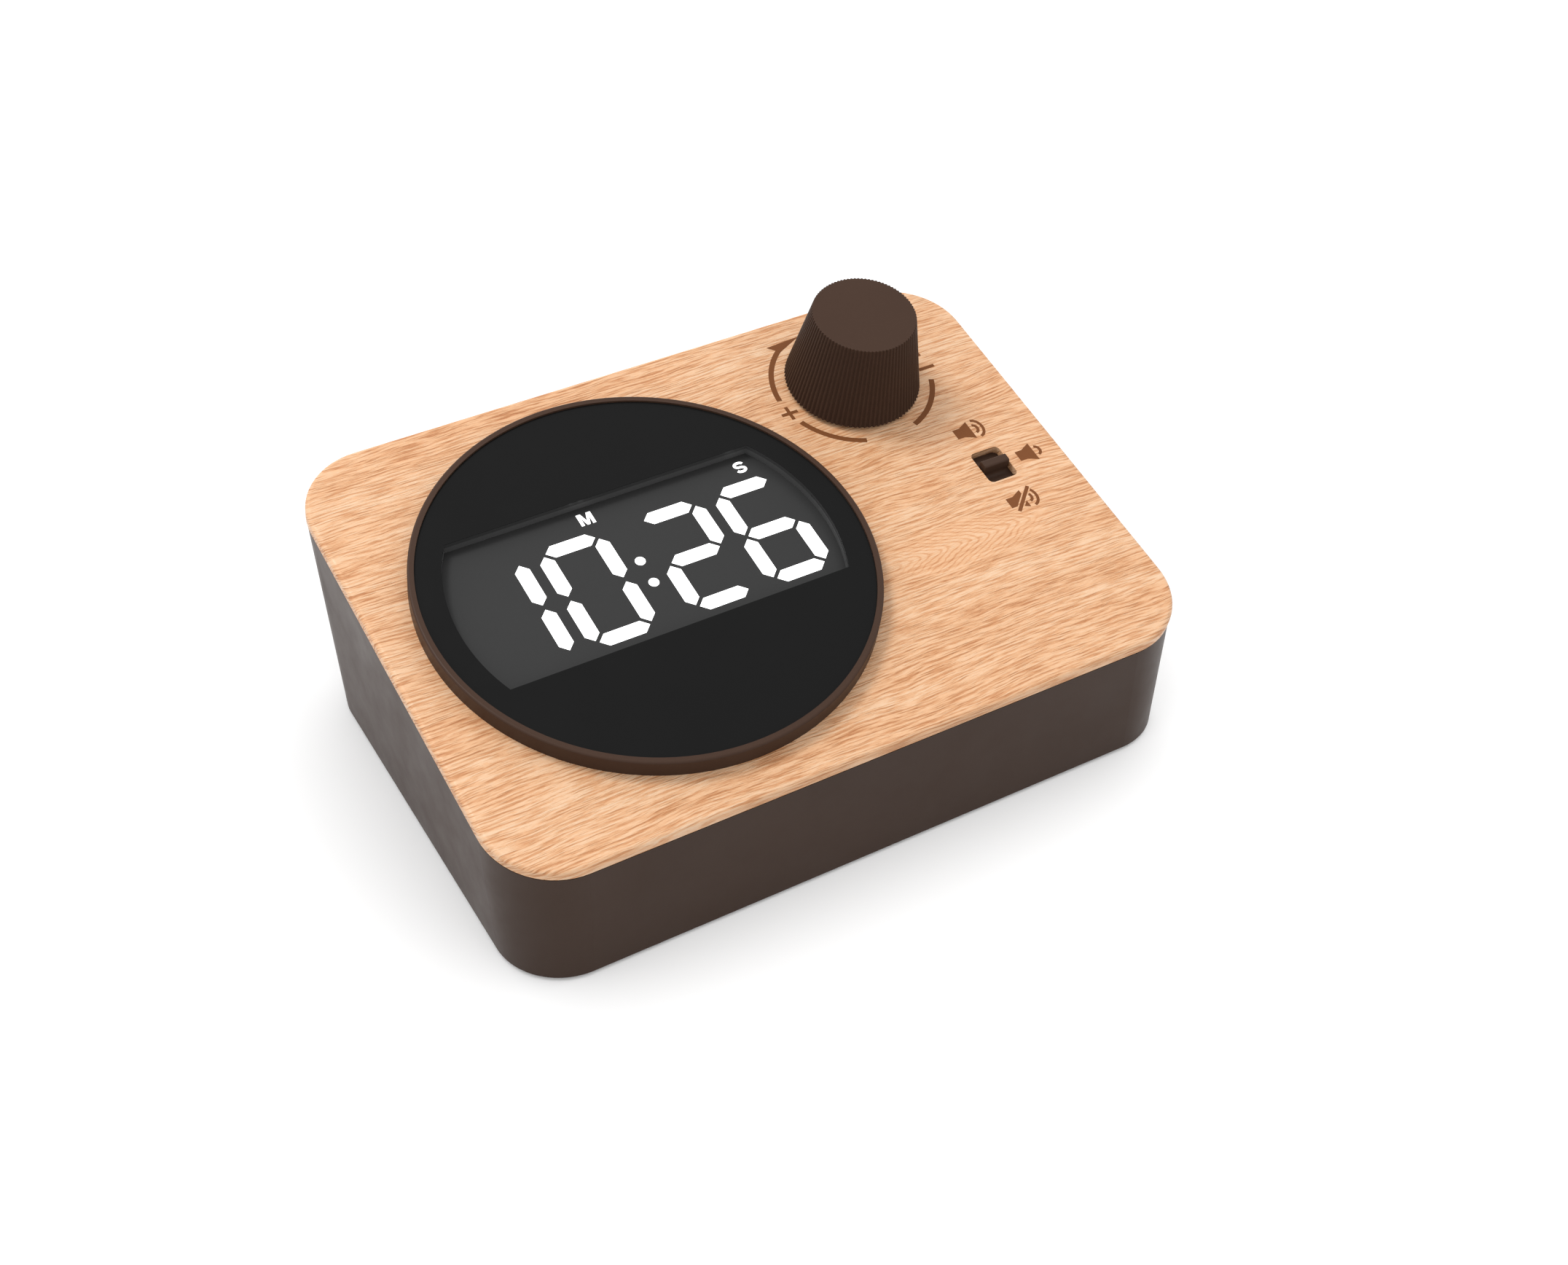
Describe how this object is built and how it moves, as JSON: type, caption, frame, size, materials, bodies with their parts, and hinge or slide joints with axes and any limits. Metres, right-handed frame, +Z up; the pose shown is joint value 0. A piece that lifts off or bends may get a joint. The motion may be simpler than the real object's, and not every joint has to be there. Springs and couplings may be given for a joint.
{
  "type": "desk countdown clock",
  "caption": "Wedge-shaped desk timer clock: wood top face, round black digital display, ribbed set-and-press knob, volume slide switch, brown plastic case.",
  "frame": {"origin": "middle of the footprint, on the surface the feet stand on", "axes": "+X to the right seen from the front, +Y to the back, +Z up; the wood face slopes up towards +Y"},
  "size_m": [0.12, 0.0845, 0.0548],
  "materials": {
    "oak_top": "satin, fine straight grain",
    "brown_case": "fine matte moulded plastic",
    "brown_trim": "satin moulded plastic",
    "black_disc": "satin black",
    "display_dark": "smooth dark grey",
    "digit_white": "lit white",
    "rubber_pad": "matte",
    "inner_plastic": "moulded plastic",
    "white_plastic": "moulded plastic",
    "board_green": "solder-masked board",
    "steel": "plain",
    "chip_black": "plain",
    "lead_red": "wire insulation",
    "cell_jacket": "plain printed jacket",
    "speaker_paper": "paper cone"
  },
  "bodies": {
    "root": {"battery_cell_1": "cell_jacket", "battery_cell_2": "cell_jacket", "battery_cell_3": "cell_jacket", "battery_leads": "lead_red", "bezel_ring": "brown_trim", "board_connectors": "white_plastic", "board_screws": "steel", "case_screws": "steel", "case_tub": "brown_case", "contact_plates": "steel", "contact_springs": "steel", "control_board": "board_green", "controller_chip": "chip_black", "deck_plate": "inner_plastic", "dial_disc": "black_disc", "display_board": "board_green", "display_face": "display_dark", "display_leds": "white_plastic", "display_ribbon": "white_plastic", "display_screws": "steel", "display_spacer": "display_dark", "encoder_dome": "steel", "encoder_housing": "chip_black", "foot_pads": "rubber_pad", "lit_segments": "digit_white", "reflector_block": "white_plastic", "speaker_cone": "speaker_paper", "speaker_frame": "steel", "speaker_leads": "lead_red", "speaker_magnet": "steel", "switch_housing": "steel", "unit_light_pipes": "white_plastic", "unlit_segments": "display_dark", "wood_panel": "oak_top"},
    "encoder_rotor": {"encoder_rotor": "white_plastic"},
    "knob": {"knob": "brown_trim", "encoder_shaft": "steel"},
    "volume_slider": {"volume_slider": "brown_trim", "switch_actuator": "chip_black"},
    "battery_door": {"battery_door": "brown_case"}
  },
  "joints": [
    {"name": "knob_turn", "type": "hinge", "parent": "root", "child": "encoder_rotor", "pos_m": [0.0346, 0.0244, 0.03785], "axis": [0, -0.2011, 0.9796], "continuous": true},
    {"name": "knob_press", "type": "slide", "parent": "encoder_rotor", "child": "knob", "axis": [0, 0.2011, -0.9796], "range_m": [0, 0.0005], "stiffness_N_per_m": 4000},
    {"name": "volume_slide", "type": "slide", "parent": "root", "child": "volume_slider", "axis": [0, 0.9796, 0.2011], "range_m": [-0.002, 0.002]},
    {"name": "battery_door_lift", "type": "slide", "parent": "root", "child": "battery_door", "axis": [0, 0, -1], "range_m": [0, 0.025]}
  ]
}
